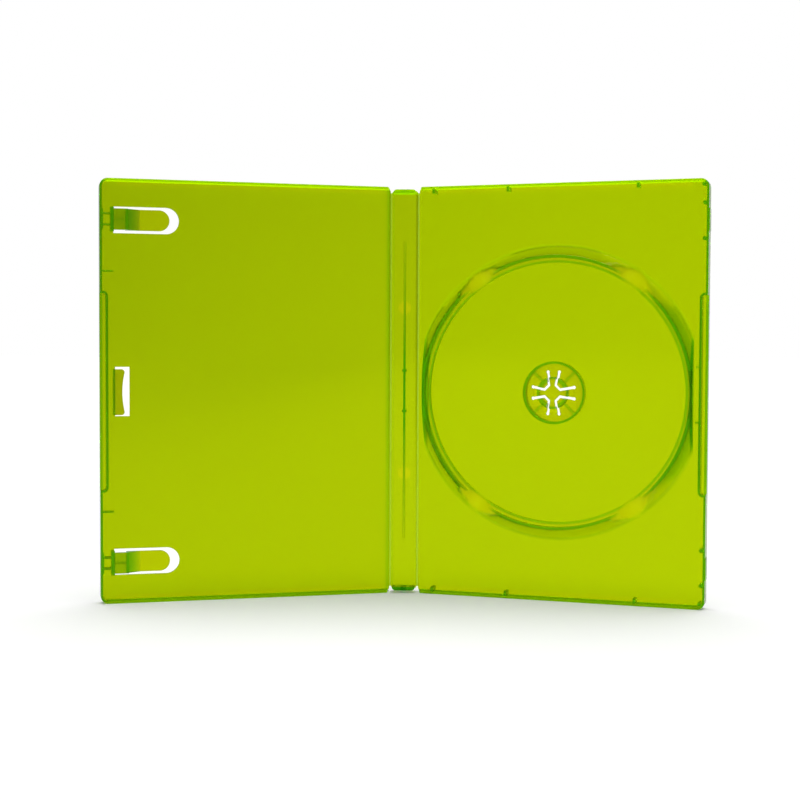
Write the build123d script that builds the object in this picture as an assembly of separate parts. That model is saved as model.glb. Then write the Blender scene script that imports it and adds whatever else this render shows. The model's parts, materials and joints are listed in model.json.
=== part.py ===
"""Case for one game disc, standing open on its bottom edge like a book.

One translucent moulding: a front cover with two booklet clips and a latch hook, a spine, and a
back cover that is the disc tray. Living hinges join them. Millimetres, +Z up, inside facing -Y.
"""

from build123d import *
from math import atan2, cos, degrees, radians, sin, sqrt
import os

os.makedirs("parts", exist_ok=True)

# Whole case
CASE_HEIGHT = 190.0
SPINE_PITCH = 13.0  # hinge line to hinge line
COVER_LEAN = 16.5  # degrees that each cover is folded forward from flat
PANEL = 1.3
WALL = 1.0
CORNER_RADIUS = 3.6
HINGE_CORNER = 1.9  # corners beside the spine
RIM_GAP = 0.2  # between the two rims when shut
RIM_SETBACK = 0.7  # foot of the rims' ends, from the panel's hinge edge
RIM_SLANT = 2.2  # the ends lean away from the hinge

# Living hinges
HINGE_DEPTH = 0.5  # hinge line inside the outer face
WEB_WIDTH = 0.7
WEB_THICKNESS = 0.4
WEB_END = 2.2  # web stops this far from the cover's ends
GROOVE_BEVEL = 1.05

# Thumb recess in the opening edge of both covers
RECESS_LENGTH = 88.0
RECESS_DEPTH = 2.6
RECESS_RADIUS = 1.3
RECESS_LIP = 1.2  # low lip along the edge that the thumb pulls
RECESS_LIP_HEIGHT = 2.0

# Shallow step along the outer face, above and below the printed insert
STEP_WIDTH = 3.0
STEP_DEPTH = 0.3
STEP_START = 4.0
STEP_LENGTH = 123.5

# Spine
SPINE_CLEARANCE = 0.2  # spine ends inside the covers' end walls
SPINE_RADIUS = 1.4
CAP_DEPTH = 6.7  # end walls, from the spine's inner face
CAP_THICKNESS = 1.7
CAP_CLEARANCE = 0.3  # each side, to the covers when shut
CAP_RADIUS = 1.7
RIB_WIDTH = 0.8
RIB_HEIGHT = 1.1  # at the keel; it falls towards both ends
RIB_END_HEIGHT = 0.15
RIB_LENGTH = 140.0
KEEL_LENGTH = 19.0
KEEL_HEIGHT = 1.7
KNOT_DIAMETER = 1.6
MARK_DIAMETER = 6.0  # round ejector marks
MARK_DEPTH = 0.15
MARK_SPACING = 78.0

# Booklet clips
CLIP_END = 18.0  # clip centre line to the nearest end of the cover
CLIP_ROOT = 6.3  # root to opening edge
CLIP_LENGTH = 25.0
CLIP_WIDTH = 9.4
CLIP_THICKNESS = 1.0
CLIP_RISE = 4.6  # top of the raised root above the panel
CLIP_ROOT_THICKNESS = 2.0
CLIP_RAISED = 6.3  # length of the raised root
CLIP_STEP = 1.4
CLIP_RAMP = 5.4
CLIP_LIP = 0.1  # tongue's top above the panel
SLOT_LENGTH = 29.3
SLOT_WIDTH = 11.9
POST_THICKNESS = 1.6
POST_WIDTH = 10.8
POST_RIB = 0.7
POST_RIB_SPACING = 4.9
SPRING_RIB = 0.6
SPRING_RIB_HEIGHT = 1.2
PAD_LENGTH = 9.5
PAD_THICKNESS = 0.6
PAD_HEIGHT = 4.2

# Latch hook on the front cover, and the slot that it snaps into on the tray
WINDOW_WIDTH = 6.4
WINDOW_LENGTH = 22.2
HOOK_SETBACK = 0.6  # window to the hook's upright
HOOK_CLEARANCE = 0.2  # upright to the flat side of the tray's bank when shut
HOOK_LENGTH = 20.4
HOOK_THICKNESS = 0.7
HOOK_HEIGHT = 9.0  # above the panel
TAB_THICKNESS = 0.9
TAB_REACH = 3.2  # at the middle of its hollow edge
TAB_RADIUS = 38.0
TAB_ROUND = 1.4
CATCH_CLEARANCE = 0.4

# Stiffening ribs of the front cover's opening edge
EDGE_RIB = 0.7
EDGE_RIB_LENGTH = 5.0
EDGE_RIB_HEIGHT = 4.2
EDGE_RIB_SPACING = 107.8

# Disc well
SHEET = 1.0  # formed sheet of the ledge and the hub
BANK_SHEET = 1.2
SCOOP_SHEET = 0.9
WELL_RADIUS = 61.3
WELL_HEIGHT = 5.2
LEDGE_WIDTH = 2.0
LEDGE_HEIGHT = 1.8
LAND_WIDTH = 1.1
LAND_ROUND = 1.5
BANK_WIDTH = 4.7
FLARE_WIDTH = 1.2  # the bank's foot runs out gently into the panel
FLARE_HEIGHT = 0.7
FLARE_ROUND = 3.0
FLAT_OFFSET = 1.2  # well to the bank's flat sides
FLAT_WALL = 1.6
HINGE_MARGIN = 3.5  # hinge line to the bank
LATCH_MARGIN = 6.5  # bank to the opening edge
SCOOP_ANGLE = 55.0  # finger scoops, from the horizontal
SCOOP_CHORD = 32.0  # between the crests of its wave
SCOOP_FLOOR = 0.15
SCOOP_CREST = 0.15  # crests above the bank
SCOOP_POINTS = 12  # along the wave

# Hub
BOSS_RADIUS = 14.3
BOSS_HEIGHT = 3.8
COLLAR_RADIUS = 7.3
COLLAR_HEIGHT = 6.4  # hub's top above the tray's floor
COLLAR_ROUND = 0.4
FINGER_WALL = 1.8
SPOKE_WIDTH = 1.0
SPOKE_HEIGHT = 1.6
ARM_REACH = 9.5
ARM_HALF_WIDTH = 2.6
WAIST_REACH = 3.55
WAIST_HALF_WIDTH = 1.55
CUT_WIDTH = 1.1
CUT_END_DIAMETER = 1.5

# Locating ribs and posts inside the tray's walls
GUSSET_PLACES = (8.8, 44.2, 103.7)
GUSSET_WIDTH = 1.2
GUSSET_REACH = 2.2
GUSSET_HEIGHT = 5.0
STUD_DIAMETER = 1.7
STUD_INSET = 2.4
NIB_SPACINGS = (169.0, 137.7)
NIB_WIDTH = 1.7
NIB_REACH = 1.8
CATCH_RIB = 0.7
CATCH_RIB_REACH = 1.7
CATCH_RIB_HEIGHT = 3.2
CATCH_RIB_SPACING = 24.6
BULGE = 0.3  # swell on the outside of the wall, beside the booklet clips
BULGE_LENGTH = 10.0

# Derived places. A cover is drawn lying flat: x from its hinge line, y up, z to the inside.
BANK_HALF_WIDTH = WELL_RADIUS + FLAT_OFFSET
DISC_CENTRE = HINGE_MARGIN + BANK_HALF_WIDTH
COVER_WIDTH = DISC_CENTRE + BANK_HALF_WIDTH + LATCH_MARGIN  # hinge line to opening edge
MIDDLE = CASE_HEIGHT / 2
OUTER = -HINGE_DEPTH
INNER = PANEL - HINGE_DEPTH
RIM = (SPINE_PITCH - RIM_GAP) / 2
WEB_HALF = WEB_WIDTH / 2
GROOVE_EDGE = WEB_HALF + GROOVE_BEVEL
WALL_FACE = COVER_WIDTH - WALL
RECESS_FACE = COVER_WIDTH - RECESS_DEPTH
CLIP_PLACE = COVER_WIDTH - CLIP_ROOT
CLIP_HEIGHTS = {"lower": CLIP_END, "upper": CASE_HEIGHT - CLIP_END}
CLIP_TOP = INNER + CLIP_RISE
HOOK_FACE = COVER_WIDTH - LATCH_MARGIN + HOOK_CLEARANCE
WINDOW_NEAR = HOOK_FACE - HOOK_SETBACK
HOOK_TOP = INNER + HOOK_HEIGHT
FAR = 2 * CASE_HEIGHT  # longer than anything here


def prism(sketch, low, high):
    """Stand a flat sketch up between two depths."""
    return Pos(0, 0, low) * extrude(sketch, high - low)


def block(x, y, z):
    """Box between two limits along each axis."""
    size = [high - low for low, high in (x, y, z)]
    return Pos(x[0], y[0], z[0]) * Box(*size, align=(Align.MIN,) * 3)


def face(*points):
    return make_face(Polyline(*points, close=True))


def along_y(profile, low, high):
    """Extrude a profile of (x, z) points along y."""
    flat = face(*[(x, 0, z) for x, z in profile])
    return Pos(0, low, 0) * extrude(flat, high - low, dir=(0, 1, 0))


def groove_bevel(low, high):
    """Cut that lets a panel fold inward at its hinge line."""
    half = WEB_THICKNESS / 2
    return along_y([(0, half), (WEB_HALF, half), (GROOVE_EDGE, INNER), (0, INNER)], low, high)


def mirrored(shape):
    return mirror(shape, about=Plane.YZ)


def cover_blank():
    """Panel with a rim on three sides and a thumb recess: what both covers share."""
    width = COVER_WIDTH - WEB_HALF
    outline = Pos(WEB_HALF + width / 2, MIDDLE) * Rectangle(width, CASE_HEIGHT)
    outline = fillet(outline.vertices().sort_by(Axis.X)[-2:], CORNER_RADIUS)
    outline = fillet(outline.vertices().sort_by(Axis.X)[:2], HINGE_CORNER)
    panel = prism(outline, OUTER, INNER) - groove_bevel(0, CASE_HEIGHT)
    recess = Pos(RECESS_FACE + COVER_WIDTH / 2, MIDDLE) * RectangleRounded(
        COVER_WIDTH, RECESS_LENGTH, RECESS_RADIUS
    )
    rim_outline = outline - recess
    beside_spine = Pos(0, MIDDLE) * Rectangle(2 * (WEB_HALF + HINGE_CORNER), CASE_HEIGHT - 2 * WALL)
    rim = rim_outline - offset(rim_outline, -WALL, kind=Kind.INTERSECTION) - beside_spine
    foot = WEB_HALF + RIM_SETBACK
    slant = along_y([(0, INNER), (foot, INNER), (foot + RIM_SLANT, RIM), (0, RIM)], -FAR, FAR)
    cover = panel + (prism(rim, INNER, RIM) - slant)
    cover += block(
        (COVER_WIDTH - RECESS_LIP, COVER_WIDTH),
        (MIDDLE - RECESS_LENGTH / 2, MIDDLE + RECESS_LENGTH / 2),
        (INNER, INNER + RECESS_LIP_HEIGHT),
    )
    for edge in (0, CASE_HEIGHT - STEP_WIDTH):
        cover -= block(
            (STEP_START, STEP_START + STEP_LENGTH), (edge, edge + STEP_WIDTH), (OUTER, OUTER + STEP_DEPTH)
        )
    return cover


def clip_plan(length, width):
    """Plan of a tongue or its slot: square at the root, half round at the tip."""
    body = Pos(-(length - width / 2) / 2, 0) * Rectangle(length - width / 2, width)
    return body + Pos(-(length - width / 2), 0) * Circle(width / 2)


def clip_post():
    """Root of a booklet clip on the front cover, with its ribs and the pad beside it."""
    post = block((0, POST_THICKNESS), (-POST_WIDTH / 2, POST_WIDTH / 2), (INNER, CLIP_TOP))
    to_wall = WALL_FACE - CLIP_PLACE
    for y in (-POST_RIB_SPACING / 2, POST_RIB_SPACING / 2):
        post += block((0, to_wall), (y - POST_RIB / 2, y + POST_RIB / 2), (INNER, CLIP_TOP))
    pad = Pos(to_wall, 0) * SlotOverall(PAD_LENGTH, 2 * PAD_THICKNESS, rotation=90)
    return post + prism(pad, INNER, INNER + PAD_HEIGHT)


def booklet_clip():
    """Sprung tongue that holds the booklet, root at x = 0 and tip towards the hinge."""
    top = INNER + CLIP_LIP
    step_end = -CLIP_RAISED
    ramp_start = CLIP_TOP - CLIP_STEP
    ramp_end = step_end - CLIP_RAMP
    under = CLIP_TOP - CLIP_ROOT_THICKNESS
    profile = [
        (0, CLIP_TOP),
        (step_end, CLIP_TOP),
        (step_end, ramp_start),
        (ramp_end, top),
        (-CLIP_LENGTH, top),
        (-CLIP_LENGTH, top - CLIP_THICKNESS),
        (step_end + CLIP_THICKNESS, top - CLIP_THICKNESS),
        (step_end + CLIP_THICKNESS, under),
        (0, under),
    ]
    tongue = along_y(profile, -CLIP_WIDTH / 2, CLIP_WIDTH / 2)
    tongue &= prism(clip_plan(CLIP_LENGTH, CLIP_WIDTH), OUTER, CLIP_TOP)
    rib = (-SPRING_RIB / 2, SPRING_RIB / 2)
    return tongue + block((step_end + CLIP_THICKNESS, 0), rib, (under - SPRING_RIB_HEIGHT, under))


def latch_hook():
    """Upright beside the window, with a tab whose edge is hollow."""
    half = HOOK_LENGTH / 2
    y = (MIDDLE - half, MIDDLE + half)
    upright = block((HOOK_FACE, HOOK_FACE + HOOK_THICKNESS), y, (INNER, HOOK_TOP))
    tip = HOOK_FACE - TAB_REACH
    deepest = TAB_RADIUS - sqrt(TAB_RADIUS**2 - half**2)
    tab = face((HOOK_FACE, y[0]), (HOOK_FACE, y[1]), (tip - deepest, y[1]), (tip - deepest, y[0]))
    tab -= Pos(tip - TAB_RADIUS, MIDDLE) * Circle(TAB_RADIUS)
    tab = fillet(tab.vertices().sort_by(Axis.X)[:2], TAB_ROUND)
    return upright + prism(tab, HOOK_TOP - TAB_THICKNESS, HOOK_TOP)


def front_cover():
    cover = cover_blank()
    window = Pos(WINDOW_NEAR - WINDOW_WIDTH / 2, MIDDLE) * Rectangle(WINDOW_WIDTH, WINDOW_LENGTH)
    cover -= prism(window, OUTER, INNER)
    cover += latch_hook()
    for y in CLIP_HEIGHTS.values():
        cover -= Pos(CLIP_PLACE, y, 0) * prism(clip_plan(SLOT_LENGTH, SLOT_WIDTH), OUTER, INNER)
        cover += Pos(CLIP_PLACE, y, 0) * clip_post()
    for y in (MIDDLE - EDGE_RIB_SPACING / 2, MIDDLE + EDGE_RIB_SPACING / 2):
        cover += block(
            (WALL_FACE - EDGE_RIB_LENGTH, WALL_FACE),
            (y - EDGE_RIB / 2, y + EDGE_RIB / 2),
            (INNER, INNER + EDGE_RIB_HEIGHT),
        )
    return cover


def ring_of(profile, rounds=()):
    """Revolve a profile of (radius, depth) points about the disc's axis, some corners rounded."""
    flat = face(*[(r, 0, z) for r, z in profile])
    for (r, z), radius in rounds:
        flat = fillet(flat.vertices().sort_by_distance((r, 0, z))[0], radius)
    return Pos(DISC_CENTRE, MIDDLE, 0) * revolve(flat, Axis.Z)


def between_flats(half_width):
    return block(
        (DISC_CENTRE - half_width, DISC_CENTRE + half_width), (MIDDLE - FAR, MIDDLE + FAR), (-FAR, FAR)
    )


def scoop_cutters(drop):
    """Finger scoops across the bank: everything above a soft wave that runs along a radius of the disc."""
    low = INNER + SCOOP_FLOOR - drop
    rise = WELL_HEIGHT + SCOOP_CREST - SCOOP_FLOOR
    near = WELL_RADIUS / 2
    wave = []
    for step in range(SCOOP_POINTS + 1):
        share = 2 * step / SCOOP_POINTS - 1
        wave.append((near, share * SCOOP_CHORD / 2, low + rise * (1 - cos(radians(180 * share))) / 2))
    start, end = wave[0], wave[-1]
    clear = low + 2 * rise
    curve = Spline(*wave, tangents=((0, 1, 0), (0, 1, 0)))
    lid = Polyline(end, (near, end[1], clear), (near, start[1], clear), start)
    section = make_face(Curve() + [curve, lid])
    cutters = []
    for angle in (SCOOP_ANGLE, 180 - SCOOP_ANGLE, 180 + SCOOP_ANGLE, 360 - SCOOP_ANGLE):
        cutter = extrude(section, WELL_RADIUS, dir=(1, 0, 0))
        cutters.append(Pos(DISC_CENTRE, MIDDLE, 0) * Rot(0, 0, angle) * cutter)
    return cutters


def disc_well():
    """Bank round the disc as formed sheet: the solid to add, and the hollow behind it."""
    ledge = WELL_RADIUS - LEDGE_WIDTH
    ledge_top = INNER + LEDGE_HEIGHT
    top = INNER + WELL_HEIGHT
    land = WELL_RADIUS + LAND_WIDTH
    foot = land + BANK_WIDTH
    per_height = BANK_WIDTH / WELL_HEIGHT
    flare = (foot - FLARE_HEIGHT * per_height, INNER + FLARE_HEIGHT)
    bank = ring_of(
        [
            (ledge, INNER),
            (ledge, ledge_top),
            (WELL_RADIUS, ledge_top),
            (WELL_RADIUS, top),
            (land, top),
            flare,
            (foot + FLARE_WIDTH, INNER),
        ],
        [((land, top), LAND_ROUND), (flare, FLARE_ROUND)],
    )
    aside = BANK_SHEET * sqrt(1 + per_height**2)
    back = WELL_RADIUS + SHEET
    peak = INNER + (foot - aside - back) / per_height
    hollow = ring_of(
        [
            (ledge + SHEET, OUTER),
            (ledge + SHEET, ledge_top - SHEET),
            (back, ledge_top - SHEET),
            (back, peak),
            (foot - aside + (INNER - OUTER) * per_height, OUTER),
        ]
    )
    bank &= between_flats(BANK_HALF_WIDTH)
    hollow &= between_flats(BANK_HALF_WIDTH - FLAT_WALL)
    for cutter in scoop_cutters(0):
        bank -= cutter
    for cutter in scoop_cutters(SCOOP_SHEET):
        hollow -= cutter
    return bank, hollow


def hub_solid(collar_wall):
    """Boss and collar as formed sheet round the disc's axis, and the hollow behind them."""
    boss_top = INNER + BOSS_HEIGHT
    hub_top = INNER + COLLAR_HEIGHT
    hub = ring_of(
        [
            (0, INNER),
            (BOSS_RADIUS, INNER),
            (BOSS_RADIUS, boss_top),
            (COLLAR_RADIUS, boss_top),
            (COLLAR_RADIUS, hub_top - COLLAR_ROUND),
            (COLLAR_RADIUS - COLLAR_ROUND, hub_top),
            (0, hub_top),
        ]
    )
    inside = BOSS_RADIUS - SHEET
    under_collar = COLLAR_RADIUS - collar_wall
    hollow = ring_of(
        [
            (0, OUTER),
            (inside, OUTER),
            (inside, boss_top - SHEET),
            (under_collar, boss_top - SHEET),
            (under_collar, hub_top - SHEET),
            (0, hub_top - SHEET),
        ]
    )
    return hub, hollow


def hub_spokes():
    """Four stiffening ribs under the boss, on the diagonals."""
    under = INNER + BOSS_HEIGHT - SHEET
    spokes = []
    for angle in (45, 135, 225, 315):
        rib = block(
            (COLLAR_RADIUS, BOSS_RADIUS - SHEET),
            (-SPOKE_WIDTH / 2, SPOKE_WIDTH / 2),
            (under - SPOKE_HEIGHT, under),
        )
        spokes.append(Pos(DISC_CENTRE, MIDDLE, 0) * Rot(0, 0, angle) * rib)
    return spokes


def cross_outline():
    """The pressed cross in plan: four arms that are widest at their roots."""
    quarter = [
        (ARM_REACH, -ARM_HALF_WIDTH),
        (ARM_REACH, ARM_HALF_WIDTH),
        (WAIST_REACH, WAIST_HALF_WIDTH),
    ]
    points = []
    for turn in (0, 90, 180, 270):
        c = round(cos(radians(turn)))
        s = round(sin(radians(turn)))
        points += [(c * x - s * y, s * x + c * y) for x, y in quarter]
        points.append((c * WAIST_HALF_WIDTH - s * WAIST_REACH, s * WAIST_HALF_WIDTH + c * WAIST_REACH))
    return points


def cross_cuts():
    """Four bent slots that free the cross from the fingers between its arms."""
    points = cross_outline()
    cuts = []
    for first in range(1, len(points), 4):
        chain = [points[(first + step) % len(points)] for step in range(4)]
        cut = Sketch()
        for start, end in zip(chain, chain[1:]):
            middle = ((start[0] + end[0]) / 2, (start[1] + end[1]) / 2)
            line = Vector(*end) - Vector(*start)
            turn = degrees(atan2(line.Y, line.X))
            cut += Pos(*middle) * Rot(0, 0, turn) * SlotCenterToCenter(line.length, CUT_WIDTH)
        for end in (chain[0], chain[-1]):
            cut += Pos(*end) * Circle(CUT_END_DIAMETER / 2)
        cuts.append(Pos(DISC_CENTRE, MIDDLE, 0) * prism(cut, INNER, INNER + COLLAR_HEIGHT))
    return cuts


def hub_cross():
    return Pos(DISC_CENTRE, MIDDLE, 0) * prism(face(*cross_outline()), OUTER, INNER + COLLAR_HEIGHT)


def hub_button():
    hub, hollow = hub_solid(SHEET)
    button = (hub - hollow) & hub_cross()
    for cut in cross_cuts():
        button -= cut
    return button


def edge_furniture():
    """Locating ribs, corner studs and nibs inside the tray's walls."""
    pieces = []
    stud_top = INNER + GUSSET_HEIGHT
    for low, high, stud in (
        (WALL, WALL + GUSSET_REACH, STUD_INSET),
        (CASE_HEIGHT - WALL - GUSSET_REACH, CASE_HEIGHT - WALL, CASE_HEIGHT - STUD_INSET),
    ):
        for x in GUSSET_PLACES:
            pieces.append(
                block((x - GUSSET_WIDTH / 2, x + GUSSET_WIDTH / 2), (low, high), (INNER, stud_top))
            )
        pieces.append(prism(Pos(COVER_WIDTH - STUD_INSET, stud) * Circle(STUD_DIAMETER / 2), INNER, stud_top))
    for spacing in NIB_SPACINGS:
        for y in (MIDDLE - spacing / 2, MIDDLE + spacing / 2):
            nib = Pos(WALL_FACE, y) * SlotOverall(2 * NIB_REACH, NIB_WIDTH)
            nib &= Pos(WALL_FACE - COVER_WIDTH / 2, MIDDLE) * Rectangle(COVER_WIDTH, CASE_HEIGHT)
            pieces.append(prism(nib, INNER, stud_top))
    for y in CLIP_HEIGHTS.values():
        swell = Pos(COVER_WIDTH, y) * SlotOverall(BULGE_LENGTH, 2 * BULGE, rotation=90)
        pieces.append(prism(swell, INNER, stud_top))
    inset_wall = RECESS_FACE - WALL
    for y in (MIDDLE - CATCH_RIB_SPACING / 2, MIDDLE + CATCH_RIB_SPACING / 2):
        pieces.append(
            block(
                (inset_wall - CATCH_RIB_REACH, inset_wall),
                (y - CATCH_RIB / 2, y + CATCH_RIB / 2),
                (INNER, INNER + CATCH_RIB_HEIGHT),
            )
        )
    return pieces


def catch_slot():
    """Slot in the flat side of the bank that takes the hook's tab when the case is shut."""
    half = HOOK_LENGTH / 2 + CATCH_CLEARANCE
    tab_low = SPINE_PITCH - HOOK_TOP
    return block(
        (DISC_CENTRE + WELL_RADIUS - LEDGE_WIDTH, DISC_CENTRE + BANK_HALF_WIDTH),
        (MIDDLE - half, MIDDLE + half),
        (tab_low - CATCH_CLEARANCE, tab_low + TAB_THICKNESS + CATCH_CLEARANCE),
    )


def disc_tray():
    tray = cover_blank()
    bank, hollow = disc_well()
    tray = tray + bank - hollow - catch_slot()
    hub, hub_hollow = hub_solid(FINGER_WALL)
    tray = tray + hub - hub_hollow
    for spoke in hub_spokes():
        tray += spoke
    tray -= hub_cross()
    for cut in cross_cuts():
        tray -= cut
    for piece in edge_furniture():
        tray += piece
    return tray


def spine_rib():
    """Fin along the spine's centre line, highest beside the keel."""
    ends = (MIDDLE - RIB_LENGTH / 2, MIDDLE + RIB_LENGTH / 2)
    crest = (MIDDLE - KEEL_LENGTH / 2, MIDDLE + KEEL_LENGTH / 2)
    profile = face(
        (0, ends[0], INNER),
        (0, ends[0], INNER + RIB_END_HEIGHT),
        (0, crest[0], INNER + RIB_HEIGHT),
        (0, crest[1], INNER + RIB_HEIGHT),
        (0, ends[1], INNER + RIB_END_HEIGHT),
        (0, ends[1], INNER),
    )
    return extrude(profile, RIB_WIDTH / 2, dir=(1, 0, 0), both=True)


def spine():
    """Spine panel drawn like a cover, with x = 0 on its centre line."""
    low = WALL + SPINE_CLEARANCE
    high = CASE_HEIGHT - low
    width = SPINE_PITCH - WEB_WIDTH
    body = prism(Pos(0, MIDDLE) * RectangleRounded(width, high - low, SPINE_RADIUS), OUTER, INNER)
    bevel = Pos(-SPINE_PITCH / 2, 0, 0) * groove_bevel(low, high)
    body = body - bevel - mirrored(bevel)
    cap_width = SPINE_PITCH - 2 * (INNER + CAP_CLEARANCE)
    caps = RectangleRounded(cap_width, high - low, CAP_RADIUS)
    caps -= Rectangle(SPINE_PITCH, high - low - 2 * CAP_THICKNESS)
    body += prism(Pos(0, MIDDLE) * caps, INNER, INNER + CAP_DEPTH)
    body += spine_rib()
    keel = Pos(0, MIDDLE) * SlotOverall(KEEL_LENGTH, RIB_WIDTH, rotation=90)
    body += prism(keel, INNER, INNER + KEEL_HEIGHT)
    for y in (MIDDLE - KEEL_LENGTH / 2, MIDDLE + KEEL_LENGTH / 2):
        body += prism(Pos(0, y) * Circle(KNOT_DIAMETER / 2), INNER, INNER + KEEL_HEIGHT)
    for y in (MIDDLE - MARK_SPACING / 2, MIDDLE + MARK_SPACING / 2):
        mark = Circle(MARK_DIAMETER / 2) - Rectangle(RIB_WIDTH, MARK_DIAMETER)
        body -= prism(Pos(0, y) * mark, INNER - MARK_DEPTH, INNER)
    return body


def hinge_web():
    """Web about the hinge line, bent to the covers' lean; the cover is towards +x."""
    half = WEB_THICKNESS / 2
    lean = radians(COVER_LEAN)
    fold = half / cos(lean / 2)
    along = Vector(cos(lean), sin(lean))
    across = Vector(-sin(lean), cos(lean))
    cover_edge = along * WEB_HALF
    profile = [
        (-WEB_HALF, -half),
        (fold * sin(lean / 2), -fold * cos(lean / 2)),
        ((cover_edge - across * half).X, (cover_edge - across * half).Y),
        ((cover_edge + across * half).X, (cover_edge + across * half).Y),
        (-fold * sin(lean / 2), fold * cos(lean / 2)),
        (-WEB_HALF, half),
    ]
    return along_y(profile, WEB_END, CASE_HEIGHT - WEB_END)


def stand(shape):
    """Turn a piece that was drawn lying flat up on its bottom edge, inside to the front."""
    return Plane.XZ.location * shape


def open_out(shape):
    """Fold a right-hand cover to its lean and carry it to its hinge line."""
    return Pos(SPINE_PITCH / 2, 0, 0) * Rot(0, 0, -COVER_LEAN) * stand(shape)


clip = booklet_clip()
pieces = {
    "front_cover": mirrored(open_out(front_cover())),
    "disc_tray": open_out(disc_tray()),
    "hub_button": open_out(hub_button()),
    "spine": stand(spine()),
    "rear_hinge_web": Pos(SPINE_PITCH / 2, 0, 0) * stand(hinge_web()),
}
pieces["front_hinge_web"] = mirrored(pieces["rear_hinge_web"])
for name, y in CLIP_HEIGHTS.items():
    pieces["booklet_clip_" + name] = mirrored(open_out(Pos(CLIP_PLACE, y, 0) * clip))

# The origin is on the floor below the middle of the open case.
reach = Compound(children=[Part() + piece for piece in pieces.values()]).bounding_box()
to_origin = Pos(-reach.center().X, -reach.center().Y, 0)
for name, piece in pieces.items():
    export_step(to_origin * piece, f"parts/{name}.step")
print("hinge lines at y", round(-reach.center().Y, 4), "size", reach.size)
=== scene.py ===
# %% [markdown]
# # A disc case in translucent green plastic
# The case is one thin polypropylene moulding that stands open like a book: a front cover with two
# booklet clips, a narrow spine, and a back cover that is the disc tray. The solids come from CAD.
# This lesson gives them the soft edges of a moulding, bends the places that bend, and works out a
# plastic whose colour deepens with the thickness that light passes through.

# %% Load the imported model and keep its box
import json
import math

import bmesh
import bpy
from mathutils import Matrix, Vector


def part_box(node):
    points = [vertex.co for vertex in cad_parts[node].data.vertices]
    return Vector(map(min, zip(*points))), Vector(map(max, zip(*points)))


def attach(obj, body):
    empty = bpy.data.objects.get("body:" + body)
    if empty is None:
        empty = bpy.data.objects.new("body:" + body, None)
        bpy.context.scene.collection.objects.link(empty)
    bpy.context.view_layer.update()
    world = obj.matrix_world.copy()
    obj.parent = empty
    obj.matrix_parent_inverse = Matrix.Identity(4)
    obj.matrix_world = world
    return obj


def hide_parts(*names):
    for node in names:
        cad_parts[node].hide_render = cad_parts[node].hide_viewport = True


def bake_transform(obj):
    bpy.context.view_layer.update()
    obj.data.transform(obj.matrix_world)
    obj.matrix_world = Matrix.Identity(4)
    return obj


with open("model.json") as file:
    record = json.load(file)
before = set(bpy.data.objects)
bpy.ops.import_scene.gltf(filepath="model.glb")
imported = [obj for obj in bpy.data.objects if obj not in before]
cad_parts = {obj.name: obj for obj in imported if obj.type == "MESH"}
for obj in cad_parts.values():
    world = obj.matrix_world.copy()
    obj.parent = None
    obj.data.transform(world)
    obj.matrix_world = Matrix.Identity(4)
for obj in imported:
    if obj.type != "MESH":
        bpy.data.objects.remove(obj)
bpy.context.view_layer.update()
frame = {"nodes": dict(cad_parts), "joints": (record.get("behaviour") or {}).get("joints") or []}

MM = 0.001
scene = bpy.context.scene
scene.view_settings.view_transform = "Standard"

# %% [markdown]
# ## Where things are
# Two vertical hinge lines carry everything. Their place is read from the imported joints, so a
# changed CAD model moves the looks with it. Points on a cover are then given the way a moulder
# would: how far from the hinge line, how high, and how deep towards the inside, in millimetres. A
# length that is written with MM is in metres already, as Blender's own lengths are.

# %% Hinge lines and the covers' lean
joints = {joint["name"]: joint for joint in frame["joints"]}
hinge_line = {
    "front_cover": Vector(joints["front_hinge"]["pos_m"]),
    "disc_tray": Vector(joints["rear_hinge"]["pos_m"]),
}
side_of = {"front_cover": -1, "disc_tray": 1}
press_axis = Vector(joints["hub_press"]["axis"])
lean = math.atan2(press_axis.x, press_axis.y)


def on_cover(cover, along, height, depth):
    """Point on a cover, in metres, from millimetres along it, up it and into it."""
    x = along * math.cos(lean) - depth * math.sin(lean)
    y = -along * math.sin(lean) - depth * math.cos(lean)
    base = hinge_line[cover]
    return Vector((base.x + side_of[cover] * x * MM, base.y + y * MM, height * MM))


print("covers lean", round(math.degrees(lean), 2), "degrees from flat")

# %% [markdown]
# ## The plastic
# Polypropylene of this kind is dyed all through, not painted. Seen square on, a panel lets most
# light through and looks yellow-green; seen along a wall, light crosses more plastic and the red
# goes first, so edges turn deep green. A base colour alone can't do that. Here the base colour
# gives the light tint that every surface adds, and an absorbing volume takes more red than green
# from every millimetre inside.
#
# The plastic is cloudy too: things behind it blur away, and a wall that is lit from above glows.
# Scattering inside could be computed step by step, but walls this thin would need very many steps.
# Instead each surface is a mix: one share refracts like matt glass, the other, the cloud, passes
# light on in every direction. A panel is thin and mostly clear. The end walls are seven millimetres
# deep, so nearly all light in them is scattered, and there the cloud takes over. Only the bottom of
# the spine and of the hinge films stays clear, and so deep green.

# %% Helpers for node trees
def add_node(tree, kind, **settings):
    node = tree.nodes.new(kind)
    for name, value in settings.items():
        setattr(node, name, value)
    return node


def feed(tree, socket, value):
    """Link an output to a socket, or set a plain value on it."""
    if isinstance(value, bpy.types.NodeSocket):
        tree.links.new(value, socket)
    else:
        socket.default_value = value


def math_node(tree, operation, *values):
    node = add_node(tree, "ShaderNodeMath", operation=operation)
    for socket, value in zip(node.inputs, values):
        feed(tree, socket, value)
    return node.outputs[0]


def vector_node(tree, operation, *values, result="Vector"):
    node = add_node(tree, "ShaderNodeVectorMath", operation=operation)
    for socket, value in zip(node.inputs, values):
        feed(tree, socket, value)
    return node.outputs[result]


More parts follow.
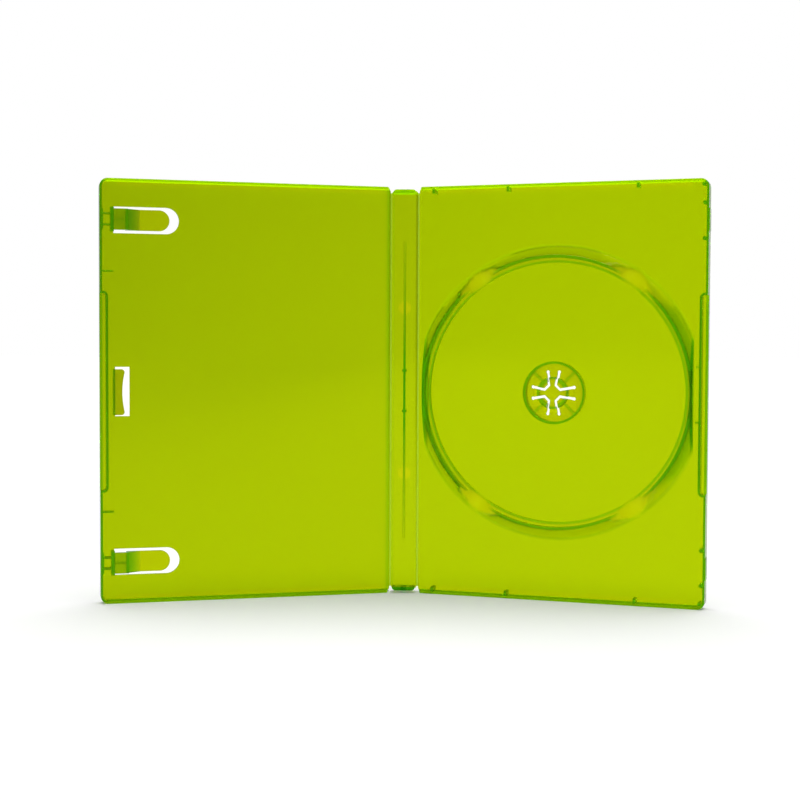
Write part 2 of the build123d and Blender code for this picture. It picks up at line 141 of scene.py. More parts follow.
def rising(tree, value, low, high, levels=(0.0, 1.0), kind="LINEAR"):
    """One level to another while a value goes from low to high."""
    step = add_node(tree, "ShaderNodeMapRange", interpolation_type=kind)
    feed(tree, step.inputs["Value"], value)
    for name, bound in zip(("From Min", "From Max", "To Min", "To Max"), (low, high, *levels)):
        step.inputs[name].default_value = bound
    return step.outputs["Result"]


# %% Shader group: the grain of a spark-eroded mould
GRAIN_DETAIL = 2.0
FLOW_DETAIL = 1.0
NOISE_MIDDLE = 0.5


def add_noise(tree, position, per_metre, detail):
    noise = add_node(tree, "ShaderNodeTexNoise", noise_dimensions="3D")
    noise.inputs["Detail"].default_value = detail
    feed(tree, noise.inputs["Vector"], position)
    feed(tree, noise.inputs["Scale"], per_metre)
    return noise.outputs["Fac"]


def build_mould_grain():
    """Fine grain of the tool's steel and slow flow of the melt: a height, a roughness, a tint."""
    tree = bpy.data.node_groups.new("Mould grain", "ShaderNodeTree")
    face = tree.interface
    for name, value in (
        ("Grain per metre", 2600.0),
        ("Flow per metre", 11.0),
        ("Roughness", 0.5),
        ("Roughness spread", 0.05),
        ("Tint spread", 0.03),
    ):
        socket = face.new_socket(name, in_out="INPUT", socket_type="NodeSocketFloat")
        socket.default_value = value
    face.new_socket("Tint", in_out="INPUT", socket_type="NodeSocketColor")
    for name, kind in (("Height", "Float"), ("Roughness", "Float"), ("Tint", "Color")):
        face.new_socket(name, in_out="OUTPUT", socket_type="NodeSocket" + kind)
    given = add_node(tree, "NodeGroupInput").outputs
    made = add_node(tree, "NodeGroupOutput").inputs
    position = add_node(tree, "ShaderNodeTexCoord").outputs["Object"]
    grain = add_noise(tree, position, given["Grain per metre"], GRAIN_DETAIL)
    flow = add_noise(tree, position, given["Flow per metre"], FLOW_DETAIL)
    centred = math_node(tree, "SUBTRACT", flow, NOISE_MIDDLE)
    rough = math_node(tree, "MULTIPLY_ADD", centred, given["Roughness spread"], given["Roughness"])
    shade = math_node(tree, "MULTIPLY_ADD", centred, given["Tint spread"], 1.0)
    tinted = add_node(tree, "ShaderNodeVectorMath", operation="SCALE")
    feed(tree, tinted.inputs[0], given["Tint"])
    feed(tree, tinted.inputs["Scale"], shade)
    feed(tree, made["Height"], grain)
    feed(tree, made["Roughness"], rough)
    feed(tree, made["Tint"], tinted.outputs["Vector"])
    return tree


mould_grain = build_mould_grain()
print("shader group:", mould_grain.name)

# %% [markdown]
# ### Deeper green in thick places, and painted shade
# Beside each hinge the panel slopes down to the thin film. Light takes a long slanting way through
# that slope, which gives a narrow band of deeper green. The bands are also painted shade: each is
# darker on its left side, as light here comes most from the right. The fin along the middle of the
# spine is darker still, the more so the higher it stands. Both are a colour by place: a ramp across
# the case's width, and a second tint that grows with the height above the spine's inner face.
# Modelling a higher fin would darken it too, but it would run into the tray when that shuts.
#
# The bank round the disc is cut flat beside the hinge and beside the latch. Those two thick walls
# are deep green as well, and a third tint marks them by their distance from the disc's centre. A
# fourth, by radius, does the same at both sides for the well's round walls. A fifth, also by
# radius,
# is painted shade: it darkens the bank's slope towards the latch, the side that gets the least
# light from behind. Every green plastic multiplies all of them into its own tint.

# %% Tint and painted shade across the hinges
RAMP_HALF = 10 * MM
# painted shade: each band beside a hinge is darker on its left, as light comes most from the right;
# the rest of its depth stands for the slanting way through the slope
HINGE_DEPTH_AND_SHADE_BANDS = (  # millimetres across, then the tint there
    (-9.2, (1, 1, 1)),
    (-8.5, (0.62, 0.87, 1)),
    (-7.0, (0.55, 0.84, 1)),
    (-6.8, (1, 1, 1)),
    (-6.2, (1, 1, 1)),
    (-6.0, (0.72, 0.9, 1)),
    (-5.2, (0.82, 0.93, 1)),
    (-4.8, (1, 1, 1)),
    (5.2, (1, 1, 1)),
    (5.6, (0.72, 0.9, 1)),
    (6.0, (0.68, 0.88, 1)),
    (6.2, (1, 1, 1)),
    (6.8, (1, 1, 1)),
    (7.0, (0.75, 0.92, 1)),
    (7.8, (1, 1, 1)),
)


# Deeper green and painted shade beside the hinges, by place across the case's width.
def hinge_depth_and_shade(tree, x):
    ramp = add_node(tree, "ShaderNodeValToRGB")
    stops = ramp.color_ramp.elements
    while len(stops) < len(HINGE_DEPTH_AND_SHADE_BANDS):
        stops.new(1.0)
    for stop, (across, tint) in zip(stops, HINGE_DEPTH_AND_SHADE_BANDS):
        stop.position = (across * MM + RAMP_HALF) / (2 * RAMP_HALF)
        stop.color = (*tint, 1)
    feed(tree, ramp.inputs["Fac"], rising(tree, x, -RAMP_HALF, RAMP_HALF))
    return ramp.outputs["Color"]


# %% Share of the fin
FACE_FROM_HINGE = 0.8 * MM
INNER_FACE = hinge_line["disc_tray"].y - FACE_FROM_HINGE
FIN_HALF_WIDTH = 1.3 * MM
FIN_LOW = 0.15 * MM
FIN_HIGH = 1.0 * MM
FIN_TINT = (0.04, 0.48, 1.0)


def fin_share(tree, x, y):
    """0 at the foot of the spine's fin and 1 at its crest."""
    near_middle = math_node(tree, "COMPARE", x, 0.0, FIN_HALF_WIDTH)
    height = rising(tree, y, INNER_FACE - FIN_LOW, INNER_FACE - FIN_HIGH)
    return math_node(tree, "MULTIPLY", near_middle, height)


print("the fin deepens over", round((FIN_HIGH - FIN_LOW) / MM, 2), "mm of height")

# %% Shares of the walls round the disc, and of the painted shade on the bank's slope
DISC_CENTRE = 66.0  # millimetres from the hinge line
CASE_MIDDLE = 95.0  # millimetres up
PANEL_DEPTH = 1.4 * MM
FLAT_FROM_CENTRE = 62.3 * MM
FLAT_REACH = 0.6 * MM
FLAT_TINT = (0.22, 0.74, 1.0)
RING_MIDDLE = 60.3 * MM
RING_HALF = 1.0 * MM
RING_REACH = 0.3 * MM
RING_TINT = (0.4, 0.86, 1.0)
SLOPE_FROM = 61.7 * MM
# painted shade: darkens the bank's slope towards the latch, the side that gets the least light from
# behind
SLOPE_SHADE_TINT = (0.52, 0.8, 1.0)
SIDES_FADE = (43 * MM, 36 * MM)  # above and below the middle: none, then full


def wall_and_shade_shares(tree, position, z):
    """Shares of the bank's flat walls, of the well's round walls and of the painted shade on the
    bank's slope.
    """
    centre = on_cover("disc_tray", DISC_CENTRE, 0, 0)
    outwards = (centre - on_cover("disc_tray", 0, 0, 0)).normalized()
    along = vector_node(tree, "DOT_PRODUCT", position, outwards, result="Value")
    along = math_node(tree, "SUBTRACT", along, centre.dot(outwards))
    up = math_node(tree, "SUBTRACT", z, CASE_MIDDLE * MM)
    depth = vector_node(tree, "DOT_PRODUCT", position, press_axis, result="Value")
    raised = math_node(tree, "LESS_THAN", depth, centre.dot(press_axis) - PANEL_DEPTH)
    from_centre = math_node(tree, "ABSOLUTE", along)
    at_flat = math_node(tree, "COMPARE", from_centre, FLAT_FROM_CENTRE, FLAT_REACH)

    spoke = add_node(tree, "ShaderNodeCombineXYZ")
    feed(tree, spoke.inputs["X"], along)
    feed(tree, spoke.inputs["Y"], up)
    radius = vector_node(tree, "LENGTH", spoke.outputs[0], result="Value")
    at_sides = rising(tree, math_node(tree, "ABSOLUTE", up), *SIDES_FADE)
    raised_side = math_node(tree, "MULTIPLY", at_sides, raised)
    from_ring = math_node(tree, "ABSOLUTE", math_node(tree, "SUBTRACT", radius, RING_MIDDLE))
    at_ring = math_node(tree, "COMPARE", from_ring, RING_HALF, RING_REACH)
    # painted shade on the bank's slope, only on the side towards the latch
    beyond = math_node(tree, "GREATER_THAN", radius, SLOPE_FROM)
    to_latch = math_node(tree, "GREATER_THAN", along, 0.0)
    slope_shade = math_node(tree, "MULTIPLY", beyond, to_latch)
    return (
        math_node(tree, "MULTIPLY", at_flat, raised),
        math_node(tree, "MULTIPLY", at_ring, raised_side),
        math_node(tree, "MULTIPLY", slope_shade, raised_side),
    )


# %% Shader group: all deeper places and painted shade together
VECTOR_A, VECTOR_B, VECTOR_RESULT = 4, 5, 1  # a Mix node's sockets for vectors


def deepened_or_shaded(tree, tint, share, deep_tint):
    """A tint, multiplied by a deeper or shaded one as far as the share says."""
    deeper_or_shaded = add_node(tree, "ShaderNodeMix", data_type="VECTOR")
    feed(tree, deeper_or_shaded.inputs["Factor"], share)
    deeper_or_shaded.inputs[VECTOR_A].default_value = (1, 1, 1)
    deeper_or_shaded.inputs[VECTOR_B].default_value = deep_tint
    return vector_node(tree, "MULTIPLY", tint, deeper_or_shaded.outputs[VECTOR_RESULT])


def build_deep_places_and_shade():
    tree = bpy.data.node_groups.new("Deep places and painted shade", "ShaderNodeTree")
    tree.interface.new_socket("Tint", in_out="INPUT", socket_type="NodeSocketColor")
    tree.interface.new_socket("Tint", in_out="OUTPUT", socket_type="NodeSocketColor")
    given = add_node(tree, "NodeGroupInput").outputs
    made = add_node(tree, "NodeGroupOutput").inputs
    position = add_node(tree, "ShaderNodeTexCoord").outputs["Object"]
    axes = add_node(tree, "ShaderNodeSeparateXYZ")
    feed(tree, axes.inputs[0], position)
    x, y, z = axes.outputs
    tint = vector_node(tree, "MULTIPLY", hinge_depth_and_shade(tree, x), given["Tint"])
    tint = deepened_or_shaded(tree, tint, fin_share(tree, x, y), FIN_TINT)
    # the last of these tints is painted shade on the bank's slope
    wall_and_shade_tints = (FLAT_TINT, RING_TINT, SLOPE_SHADE_TINT)
    for share, deep_or_shade_tint in zip(wall_and_shade_shares(tree, position, z), wall_and_shade_tints):
        tint = deepened_or_shaded(tree, tint, share, deep_or_shade_tint)
    feed(tree, made["Tint"], tint)
    return tree


deep_places_and_shade = build_deep_places_and_shade()
print("shader group:", deep_places_and_shade.name, "with", len(HINGE_DEPTH_AND_SHADE_BANDS), "stops")

# %% The dyed plastic
PLASTIC_IOR = 1.49
SHINE = 0.25
SHINE_TINT = (0.4, 0.4, 0.05, 1)
GLASS_ROUGHNESS = 0.1
GRAIN_STRENGTH = 0.12
GRAIN_HEIGHT = 0.05 * MM
DYE = ((0.9, 0.975, 0.0, 1), 4000)  # colour, then density per metre
CLOUD = (0.88, 0.95, 0.08, 1)
CLOUD_IN_WALL = 0.9


def add_glass(tree, tint, roughness):
    glass = add_node(tree, "ShaderNodeBsdfPrincipled")
    glass.inputs["IOR"].default_value = PLASTIC_IOR
    glass.inputs["Transmission Weight"].default_value = 1.0
    glass.inputs["Specular IOR Level"].default_value = SHINE
    glass.inputs["Specular Tint"].default_value = SHINE_TINT
    grain = add_node(tree, "ShaderNodeGroup", node_tree=mould_grain)
    grain.inputs["Tint"].default_value = tint
    grain.inputs["Roughness"].default_value = roughness
    bump = add_node(tree, "ShaderNodeBump")
    bump.inputs["Strength"].default_value = GRAIN_STRENGTH
    bump.inputs["Distance"].default_value = GRAIN_HEIGHT
    # the tint takes deeper green in thick places, and painted shade beside the hinges and on the
    # bank's slope
    deeper_or_shaded = add_node(tree, "ShaderNodeGroup", node_tree=deep_places_and_shade)
    feed(tree, bump.inputs["Height"], grain.outputs["Height"])
    feed(tree, deeper_or_shaded.inputs["Tint"], grain.outputs["Tint"])
    feed(tree, glass.inputs["Base Color"], deeper_or_shaded.outputs["Tint"])
    feed(tree, glass.inputs["Roughness"], grain.outputs["Roughness"])
    feed(tree, glass.inputs["Normal"], bump.outputs["Normal"])
    return glass.outputs["BSDF"]


def cloud_share(tree, in_panel, top_wall, bottom_wall):
    """Share of the cloud: one between the end walls, another in them."""
    axes = add_node(tree, "ShaderNodeSeparateXYZ")
    feed(tree, axes.inputs[0], add_node(tree, "ShaderNodeTexCoord").outputs["Object"])
    middle = CASE_MIDDLE * MM + (bottom_wall - top_wall) / 2
    half = CASE_MIDDLE * MM - (bottom_wall + top_wall) / 2
    between = math_node(tree, "COMPARE", axes.outputs["Z"], middle, half)
    return math_node(tree, "MULTIPLY_ADD", between, in_panel - CLOUD_IN_WALL, CLOUD_IN_WALL)


def build_plastic(name, tint, clouds, cloud_colour=CLOUD, roughness=GLASS_ROUGHNESS, dye=DYE):
    """Dyed plastic; clouds: the share in a panel, and how far the top and bottom walls reach."""
    material = bpy.data.materials.new(name)
    material.use_nodes = True
    tree = material.node_tree
    tree.nodes.clear()
    out = add_node(tree, "ShaderNodeOutputMaterial")
    cloud = add_node(tree, "ShaderNodeBsdfTranslucent")
    cloud.inputs["Color"].default_value = cloud_colour
    mixed = add_node(tree, "ShaderNodeMixShader")
    feed(tree, mixed.inputs["Fac"], cloud_share(tree, *clouds))
    feed(tree, mixed.inputs[1], add_glass(tree, tint, roughness))
    feed(tree, mixed.inputs[2], cloud.outputs["BSDF"])
    feed(tree, out.inputs["Surface"], mixed.outputs["Shader"])
    inside = add_node(tree, "ShaderNodeVolumeAbsorption")
    inside.inputs["Color"].default_value, inside.inputs["Density"].default_value = dye
    feed(tree, out.inputs["Volume"], inside.outputs["Volume"])
    return material


# %% Plastic of the covers and of the spine
COVER_TINT = (0.92, 0.72, 0.02, 1)
COVER_CLOUD = 0.3
COVER_WALL = 1.05 * MM
SPINE_TINT = (0.79, 0.685, 0.02, 1)
SPINE_CLOUD = 0.12
SPINE_WALL = 2.95 * MM
NO_WALL = -1 * MM

cover_clouds = (COVER_CLOUD, COVER_WALL, COVER_WALL)
cover_plastic = build_plastic("green cover plastic", COVER_TINT, cover_clouds)
spine_clouds = (SPINE_CLOUD, SPINE_WALL, NO_WALL)
spine_plastic = build_plastic("green spine plastic", SPINE_TINT, spine_clouds)
print("materials:", cover_plastic.name, "and", spine_plastic.name)

# %% [markdown]
# ## Soft edges
# A moulding has no razor edges. Each rigid CAD node is copied, its loose triangles are merged into
# one closed skin, flat regions are joined, and a small bevel rounds what is left. The copy then
# stands for the node. Rounding in CAD would do the same, but every fillet there costs faces that
# only the eye needs. In the finger scoops one surface flows into the next, so there only the
# sharpest edges get a bevel. The shallow ones are left to smooth shading, which makes them soft
# patches of light as in the photograph.

# %% Helpers: new pieces, plain meshes, merged skins
MERGE = 0.0005 * MM
FLAT_WITHIN = math.radians(0.3)


def new_piece(name, mesh):
    piece = bpy.data.objects.new(name, mesh)
    scene.collection.objects.link(piece)
    return piece


def applied(piece):
    """Turn a piece's modifiers into plain mesh."""
    bpy.context.view_layer.update()
    seen = piece.evaluated_get(bpy.context.evaluated_depsgraph_get())
    finished = bpy.data.meshes.new_from_object(seen)
    piece.modifiers.clear()
    piece.data = finished
    return piece


def merged_skin(node):
    """A node's loose triangles as one closed skin with its flat regions joined."""
    skin = bmesh.new()
    skin.from_mesh(frame["nodes"][node].data)
    bmesh.ops.remove_doubles(skin, verts=skin.verts, dist=MERGE)
    bmesh.ops.dissolve_limit(skin, angle_limit=FLAT_WITHIN, verts=skin.verts, edges=skin.edges)
    return skin


# %% Which edges get a bevel
ROUND_OVER = math.radians(28)
SCOOP_ROUND_OVER = math.radians(70)
SCOOP_ALONG = 37.0
SCOOP_UP = 53.0
SCOOP_DEPTH = 3.0
SCOOP_REACH = 21 * MM

scoops = [
    on_cover("disc_tray", DISC_CENTRE + x * SCOOP_ALONG, CASE_MIDDLE + z * SCOOP_UP, SCOOP_DEPTH)
    for x in (-1, 1)
    for z in (-1, 1)
]


def mark_edges(skin):
    """Choose the edges that get a bevel: all clear ones, but only the sharpest in a scoop."""
    marks = skin.edges.layers.float.new("bevel_weight_edge")
    for edge in skin.edges:
        middle = (edge.verts[0].co + edge.verts[1].co) / 2
        in_scoop = min((middle - scoop).length for scoop in scoops) < SCOOP_REACH
        limit = SCOOP_ROUND_OVER if in_scoop else ROUND_OVER
        edge[marks] = 1.0 if edge.calc_face_angle(0.0) > limit else 0.0


print("finger scoops with softer edges:", len(scoops))

# %% Helpers: rounded and finished pieces
EDGE_ROUND = 0.16 * MM
ROUND_STEPS = 2


def as_piece(skin, name):
    mark_edges(skin)
    mesh = bpy.data.meshes.new(name)
    skin.to_mesh(mesh)
    skin.free()
    return new_piece(name, mesh)


def soften(piece, width=EDGE_ROUND):
    bevel = piece.modifiers.new("Soft edges", "BEVEL")
    bevel.width = width
    bevel.segments = ROUND_STEPS
    bevel.limit_method = "WEIGHT"
    normals = piece.modifiers.new("Even shading", "WEIGHTED_NORMAL")
    normals.keep_sharp = True
    piece.data.polygons.foreach_set("use_smooth", [True] * len(piece.data.polygons))
    return applied(piece)


def finish_piece(piece, node, material):
    piece.data.materials.clear()
    piece.data.materials.append(material)
    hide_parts(node)
    print(piece.name, len(piece.data.polygons), "faces")


# %% [markdown]
# ### The fin and the round marks of the spine
# A thin fin runs along the middle of the spine, highest between two knots. Two shallow round marks,
# where pins pushed the moulding out of its tool, are thinner than the rest and so lighter. The fin
# is made a little wider and the marks deeper than in the CAD model, until both read as they do on
# the real case.

# %% Wider fin and deeper marks on the spine's skin
FIN_WIDEN = 1.35
KNOT_WIDEN = 1.45
KNOT_OVER = 0.5 * MM
MARK_DEPTH = 0.15 * MM
MARK_STRETCH = 4.2
FIN_END_GAP = 1 * MM


def bring_out_spine(skin):
    """Widen what stands along the middle of the spine's inner face, and deepen what is sunk in."""
    fin = marks = 0
    middle = CASE_MIDDLE * MM
    for vert in skin.verts:
        height = INNER_FACE - vert.co.y
        on_fin = height > MARK_DEPTH / 2 and abs(vert.co.x) < FIN_HALF_WIDTH
        in_mark = abs(height + MARK_DEPTH) < MARK_DEPTH / 5
        if on_fin and abs(vert.co.z - middle) < middle - SPINE_WALL - FIN_END_GAP:
            vert.co.x *= KNOT_WIDEN if abs(vert.co.x) > KNOT_OVER else FIN_WIDEN
            fin += 1
        elif in_mark:
            vert.co.y = INNER_FACE - height * MARK_STRETCH
            marks += 1
    print("spine points moved:", fin, "on the fin,", marks, "in the marks")


# %% Rounded copies of the rigid pieces
SPINE_ROUND = 0.06 * MM

for node, plastic, width in (
    ("front_cover", cover_plastic, EDGE_ROUND),
    ("disc_tray", cover_plastic, EDGE_ROUND),
    ("spine", spine_plastic, SPINE_ROUND),
):
    skin = merged_skin(node)
    if node == "spine":
        bring_out_spine(skin)
    piece = soften(as_piece(skin, node + "_moulding"), width)
    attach(piece, node)
    finish_piece(piece, node, plastic)

# %% [markdown]
# ## Booklet clips
# A clip is a tongue that springs from a raised root and holds the booklet's edge. When it is
# lifted, only the stretch next to the root bends. The tongue is cut into narrow slices there, so
# that the mesh has somewhere to bend.

# %% Sliced tongues
CLIP_PLACE = 128.7
CLIP_DEPTH = 5.4
CLIP_BEND = 5.0
CLIP_SLICES = 10
SEAM = 0.02  # millimetres, so that touching pieces don't share a face

along_front = on_cover("front_cover", 1, 0, 0) - on_cover("front_cover", 0, 0, 0)
for node in ("booklet_clip_upper", "booklet_clip_lower"):
    skin = merged_skin(node)
    root = on_cover("front_cover", CLIP_PLACE, 0, CLIP_DEPTH)
    for vert in skin.verts:
        if (vert.co - root).dot(along_front.normalized()) > -SEAM * MM:
            vert.co -= along_front * SEAM
    for cut in range(1, CLIP_SLICES):
        reach = CLIP_PLACE - CLIP_BEND * cut / CLIP_SLICES
        place = on_cover("front_cover", reach, 0, CLIP_DEPTH)
        parts = skin.verts[:] + skin.edges[:] + skin.faces[:]
        bmesh.ops.bisect_plane(skin, geom=parts, plane_co=place, plane_no=along_front)
    piece = soften(as_piece(skin, node + "_tongue"))
    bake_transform(piece)
    finish_piece(piece, node, cover_plastic)

# %% [markdown]
# ## The pressed cross
# Pushing the middle of the hub lets the disc go. The cross is part of the tray's own sheet: its
# four arms stay joined at their roots and its raised middle sinks. Here the cross gets the same
# closed skin and soft edges as the other pieces.

piece = soften(as_piece(merged_skin("hub_button"), "hub_button_cross"))
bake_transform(piece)
finish_piece(piece, "hub_button", cover_plastic)

# %% [markdown]
# ## Living hinges
# Each hinge is a film a few tenths of a millimetre thick, the thinnest plastic on the case. Folding
# it at the factory stretched it, which left it paler than the panels. It follows a rule: a flat
# strip, swept along the hinge line and rolled to the covers' lean. A Geometry Nodes tree says
# exactly that, with the sizes as inputs. Enough steps across let it fold shut later without a
# crease.

# %% Geometry Nodes: a rolled strip
def rolled_positions(tree, given):
    """Where the flat strip's points go when it is rolled, ends level with the hinge line."""
    width, fold = given["Width"], given["Lean"]
    flat = add_node(tree, "ShaderNodeSeparateXYZ")
    feed(tree, flat.inputs[0], add_node(tree, "GeometryNodeInputPosition").outputs[0])
    angle = math_node(tree, "DIVIDE", flat.outputs["X"], width)
    angle = math_node(tree, "MULTIPLY", angle, fold)
    roll = math_node(tree, "DIVIDE", width, fold)
    reach = math_node(tree, "ADD", roll, flat.outputs["Y"])
    half = math_node(tree, "MULTIPLY", fold, 0.5)
    drop = math_node(tree, "MULTIPLY", roll, math_node(tree, "COSINE", half))
    half_width = math_node(tree, "MULTIPLY", width, 0.5)
    sunk = math_node(tree, "MULTIPLY", half_width, math_node(tree, "SINE", half))
    bent = math_node(tree, "MULTIPLY", reach, math_node(tree, "COSINE", angle))
    level = math_node(tree, "SUBTRACT", math_node(tree, "SUBTRACT", bent, drop), sunk)
    sideways = math_node(tree, "MULTIPLY", reach, math_node(tree, "SINE", angle))
    rolled = add_node(tree, "ShaderNodeCombineXYZ")
    feed(tree, rolled.inputs["X"], sideways)
    feed(tree, rolled.inputs["Y"], level)
    feed(tree, rolled.inputs["Z"], flat.outputs["Z"])
    return rolled.outputs[0]


def build_film_tree():
    tree = bpy.data.node_groups.new("Hinge film", "GeometryNodeTree")
    face = tree.interface
    face.new_socket("Geometry", in_out="OUTPUT", socket_type="NodeSocketGeometry")
    for name in ("Length", "Width", "Thickness", "Lean", "Turn"):
        face.new_socket(name, in_out="INPUT", socket_type="NodeSocketFloat")
    face.new_socket("Place", in_out="INPUT", socket_type="NodeSocketVector")
    face.new_socket("Steps", in_out="INPUT", socket_type="NodeSocketInt")
    face.new_socket("Material", in_out="INPUT", socket_type="NodeSocketMaterial")
    given = add_node(tree, "NodeGroupInput").outputs
    made = add_node(tree, "NodeGroupOutput").inputs
    strip = add_node(tree, "GeometryNodeMeshCube")
    size = add_node(tree, "ShaderNodeCombineXYZ")
    for axis, name in (("X", "Width"), ("Y", "Thickness"), ("Z", "Length")):
        feed(tree, size.inputs[axis], given[name])
    feed(tree, strip.inputs["Size"], size.outputs[0])
    feed(tree, strip.inputs["Vertices X"], given["Steps"])
    moved = add_node(tree, "GeometryNodeSetPosition")
    feed(tree, moved.inputs["Geometry"], strip.outputs["Mesh"])
    feed(tree, moved.inputs["Position"], rolled_positions(tree, given))
    turned = add_node(tree, "GeometryNodeTransform")
    spin = add_node(tree, "ShaderNodeCombineXYZ")
    feed(tree, spin.inputs["Z"], given["Turn"])
    feed(tree, turned.inputs["Geometry"], moved.outputs["Geometry"])
    feed(tree, turned.inputs["Translation"], given["Place"])
    feed(tree, turned.inputs["Rotation"], spin.outputs[0])
    real = add_node(tree, "GeometryNodeRealizeInstances")
    feed(tree, real.inputs["Geometry"], turned.outputs["Geometry"])
    coloured = add_node(tree, "GeometryNodeSetMaterial")
    feed(tree, coloured.inputs["Geometry"], real.outputs["Geometry"])
    feed(tree, coloured.inputs["Material"], given["Material"])
    feed(tree, made["Geometry"], coloured.outputs["Geometry"])
    return tree


film_tree = build_film_tree()
print("Geometry Nodes tree:", film_tree.name)

# %% Stretched plastic
STRETCHED_TINT = (0.60, 0.84, 0.06, 1)
STRETCHED_CLOUD = (0.70, 0.88, 0.2, 1)
STRETCHED_DYE = ((0.93, 0.985, 0.5, 1), 1500)
FILM_CLOUD = 0.4
FILM_ROUGHNESS = 0.3

stretched_plastic = build_plastic(
    "stretched hinge plastic",
    STRETCHED_TINT,
    (FILM_CLOUD, COVER_WALL, NO_WALL),
    cloud_colour=STRETCHED_CLOUD,
    roughness=FILM_ROUGHNESS,
    dye=STRETCHED_DYE,
)
print("material:", stretched_plastic.name)

# %% The two films
FILM_WIDTH = 0.7  # millimetres, as the next
FILM_THICKNESS = 0.4
FILM_STEPS = 9


def set_input(modifier, tree, name, value):
    identifier = next(item.identifier for item in tree.interface.items_tree if item.name == name)
    modifier[identifier] = value


for node, cover in (("front_hinge_web", "front_cover"), ("rear_hinge_web", "disc_tray")):
    low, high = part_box(node)
    axis = hinge_line[cover]
    side = side_of[cover]
    piece = new_piece(node + "_film", bpy.data.meshes.new(node + "_film"))
    rolled = piece.modifiers.new("Hinge film", "NODES")
    rolled.node_group = film_tree
    for name, value in (
        ("Length", high[2] - low[2]),
        ("Width", (FILM_WIDTH - SEAM) * MM),
        ("Thickness", FILM_THICKNESS * MM),
        ("Lean", lean),
        ("Turn", -side * lean / 2),
        ("Place", (axis.x, axis.y, (low[2] + high[2]) / 2)),
        ("Steps", FILM_STEPS),
        ("Material", stretched_plastic),
    ):
        set_input(rolled, film_tree, name, value)
    applied(piece)
    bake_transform(piece)
    finish_piece(piece, node, stretched_plastic)

# %% [markdown]
# ## Floor, light and backdrop
# The case stands on white paper before a white backdrop, under one large soft lamp, above and a
# little behind. The lamp makes the top walls glow and throws a soft shadow forward. A small lift
# that the camera, reflections and rays through the plastic see brings the paper up to white, and
# the shadow stays in it. Light that the paper scatters comes from a dim room, not from the white
# backdrop, which keeps that shadow clear.
#
# Light from behind shapes translucent plastic more than light from the front. Where it comes evenly
# from all round, every slope looks the same. Here the backdrop is brightest to the right and low
# down, and falls off to the left and upwards. The paper's own colour is painted darker to the left
# too, a painted shade for every ray but the camera's, and only the camera sees it evenly white. So
# the tray is lighter than the front cover, and the bank round the disc has a light side and a dark
# side.

# %% Helpers: rays, fall-off and mixed levels
FIRST_BOUNCE = 0.5  # fewer bounces off paper than this means none
FLOAT_A, FLOAT_B, FLOAT_RESULT = 2, 3, 0  # a Mix node's sockets for numbers


def seen_rays(tree):
    """1 for rays from the camera, a reflection or the plastic that no paper has scattered."""
    rays = add_node(tree, "ShaderNodeLightPath").outputs
    seen = rays["Is Camera Ray"]
    for name in ("Is Transmission Ray", "Is Glossy Ray"):
        seen = math_node(tree, "MAXIMUM", seen, rays[name])
    unscattered = math_node(tree, "LESS_THAN", rays["Diffuse Depth"], FIRST_BOUNCE)
    return math_node(tree, "MULTIPLY", seen, unscattered), rays["Is Camera Ray"]


def fall_off(tree, value, low, high, level_at_low, level_at_high):
    """Smooth step from one level to another along a value."""
    return rising(tree, value, low, high, (level_at_low, level_at_high), "SMOOTHSTEP")


def mixed_level(tree, share, at_none, at_full):
    mix = add_node(tree, "ShaderNodeMix", data_type="FLOAT")
    feed(tree, mix.inputs["Factor"], share)
    feed(tree, mix.inputs[FLOAT_A], at_none)
    feed(tree, mix.inputs[FLOAT_B], at_full)
    return mix.outputs[FLOAT_RESULT]


# %% Floor paper
PAPER_WHITE = 0.86
PAPER_LIFT = 0.15
# painted shade: the paper's colour darkens to the left for every ray but the camera's, standing in
# for light that falls off there
PAPER_SHADE_FALL = (-0.7, 0.15, 0.55, PAPER_WHITE)  # from and to, metres to the side, then the levels
FLOOR_REACH = 12.0  # metres
FLOOR_GAP = 0.05 * MM
FLOOR_CORNERS = ((-1, -1), (1, -1), (1, 1), (-1, 1))


def build_floor_paper():
    material = bpy.data.materials.new("white floor paper")
    material.use_nodes = True
    tree = material.node_tree
    tree.nodes.clear()
    out = add_node(tree, "ShaderNodeOutputMaterial")
    axes = add_node(tree, "ShaderNodeSeparateXYZ")
    feed(tree, axes.inputs[0], add_node(tree, "ShaderNodeTexCoord").outputs["Object"])
    seen, by_camera = seen_rays(tree)
    # painted shade on the paper, darker to the left
    shade = fall_off(tree, axes.outputs["X"], *PAPER_SHADE_FALL)
    paper = add_node(tree, "ShaderNodeBsdfDiffuse")
    feed(tree, paper.inputs["Color"], mixed_level(tree, by_camera, shade, PAPER_WHITE))
    lift = add_node(tree, "ShaderNodeEmission")
    feed(tree, lift.inputs["Strength"], math_node(tree, "MULTIPLY", seen, PAPER_LIFT))
    both = add_node(tree, "ShaderNodeAddShader")
    feed(tree, both.inputs[0], paper.outputs[0])
    feed(tree, both.inputs[1], lift.outputs[0])
    feed(tree, out.inputs["Surface"], both.outputs[0])
    return material


floor_mesh = bpy.data.meshes.new("floor")
floor_points = [(x * FLOOR_REACH, y * FLOOR_REACH, -FLOOR_GAP) for x, y in FLOOR_CORNERS]
floor_mesh.from_pydata(floor_points, [], [(0, 1, 2, 3)])
floor_mesh.materials.append(build_floor_paper())
floor = new_piece("floor", floor_mesh)
print("floor paper:", 2 * FLOOR_REACH, "metres square")

# %% Soft lamp
LAMP_STRENGTH = 3.1
LAMP_SPREAD = math.radians(62)
LAMP_FROM = Vector((0.05, 0.12, 1.0))

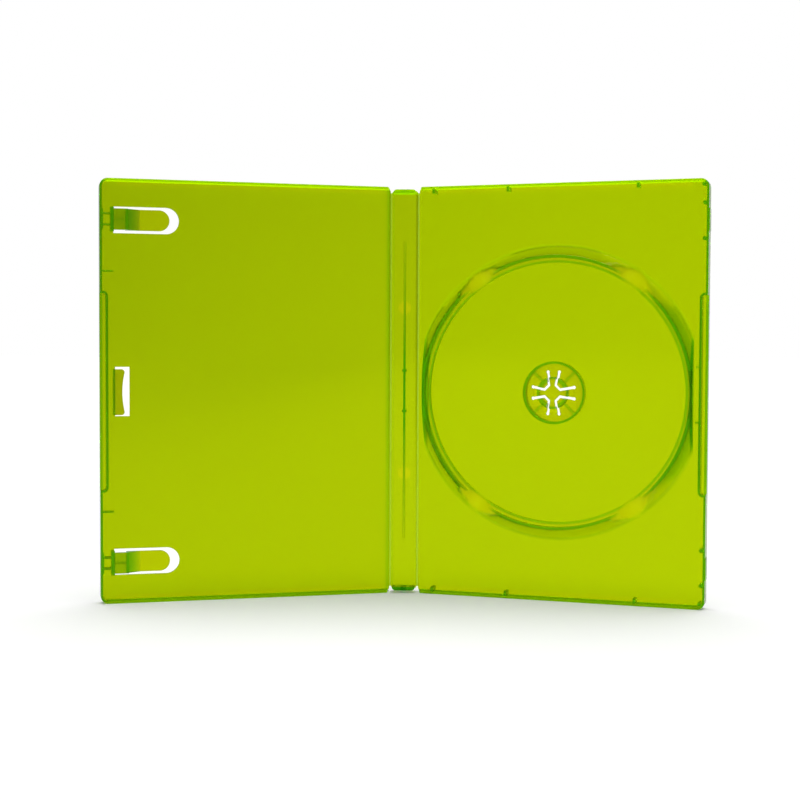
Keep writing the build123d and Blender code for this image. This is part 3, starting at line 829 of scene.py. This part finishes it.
lamp_data = bpy.data.lights.new("soft lamp", "SUN")
lamp_data.energy = LAMP_STRENGTH
lamp_data.angle = LAMP_SPREAD
lamp = bpy.data.objects.new("soft lamp", lamp_data)
scene.collection.objects.link(lamp)
lamp.location = LAMP_FROM
lamp.rotation_euler = LAMP_FROM.to_track_quat("Z", "Y").to_euler()
print("lamp spread:", round(math.degrees(LAMP_SPREAD)), "degrees")

# %% Backdrop and room
# Each fall gives the direction's part along an axis, from and to, then the two levels.
SIDE_FALL = (-0.75, 0.2, 0.2, 1.0)
UP_FALL = (-0.06, 0.5, 1.0, 0.5)
FRONT_FALL = (-0.3, 0.2, 0.65, 1.0)
ROOM_FALL = (-0.75, 0.1, 0.03, 0.12)

world = bpy.data.worlds.new("white studio")
scene.world = world
world.use_nodes = True
tree = world.node_tree
tree.nodes.clear()
out = add_node(tree, "ShaderNodeOutputWorld")
background = add_node(tree, "ShaderNodeBackground")
background.inputs["Color"].default_value = (1, 1, 1, 1)
axes = add_node(tree, "ShaderNodeSeparateXYZ")
feed(tree, axes.inputs[0], add_node(tree, "ShaderNodeTexCoord").outputs["Generated"])
level = fall_off(tree, axes.outputs["X"], *SIDE_FALL)
for axis, fall in (("Z", UP_FALL), ("Y", FRONT_FALL)):
    level = math_node(tree, "MULTIPLY", level, fall_off(tree, axes.outputs[axis], *fall))
seen, by_camera = seen_rays(tree)
room = fall_off(tree, axes.outputs["Y"], *ROOM_FALL)
backdrop = mixed_level(tree, by_camera, level, 1.0)
feed(tree, background.inputs["Strength"], mixed_level(tree, seen, room, backdrop))
feed(tree, out.inputs["Surface"], background.outputs[0])
print("backdrop from left to right:", SIDE_FALL[2], "to", SIDE_FALL[3])

# %% [markdown]
# ## Camera
# The place and the lens come from fitting the case's own corners to the photograph, with its height
# known.

# %% Camera
CAMERA_PLACE = Vector((19.92, -685.62, 116.58)) * MM
CAMERA_PITCH = 0.038
CAMERA_YAW = -0.0321
CAMERA_ROLL = 0.0043
FOCAL_PIXELS = 1452.5
PHOTO_PIXELS = 800
SENSOR_WIDTH = 36.0
FAR_END = 100.0

ahead = math.cos(CAMERA_PITCH)
forward = Vector(
    (math.sin(CAMERA_YAW) * ahead, math.cos(CAMERA_YAW) * ahead, -math.sin(CAMERA_PITCH))
)
right = Vector((math.cos(CAMERA_YAW), -math.sin(CAMERA_YAW), 0))
up = right.cross(forward)
turned_right = right * math.cos(CAMERA_ROLL) + up * math.sin(CAMERA_ROLL)
turned_up = up * math.cos(CAMERA_ROLL) - right * math.sin(CAMERA_ROLL)
facing = Matrix((turned_right, turned_up, -forward)).transposed().to_4x4()
camera_data = bpy.data.cameras.new("camera")
camera_data.sensor_width = SENSOR_WIDTH
camera_data.lens = SENSOR_WIDTH * FOCAL_PIXELS / PHOTO_PIXELS
camera_data.clip_end = FAR_END
camera = bpy.data.objects.new("camera", camera_data)
scene.collection.objects.link(camera)
from_hinges = Vector((0, hinge_line["disc_tray"].y, 0))
camera.matrix_world = Matrix.Translation(CAMERA_PLACE + from_hinges) @ facing
scene.camera = camera
print("lens:", round(camera_data.lens, 1), "mm")
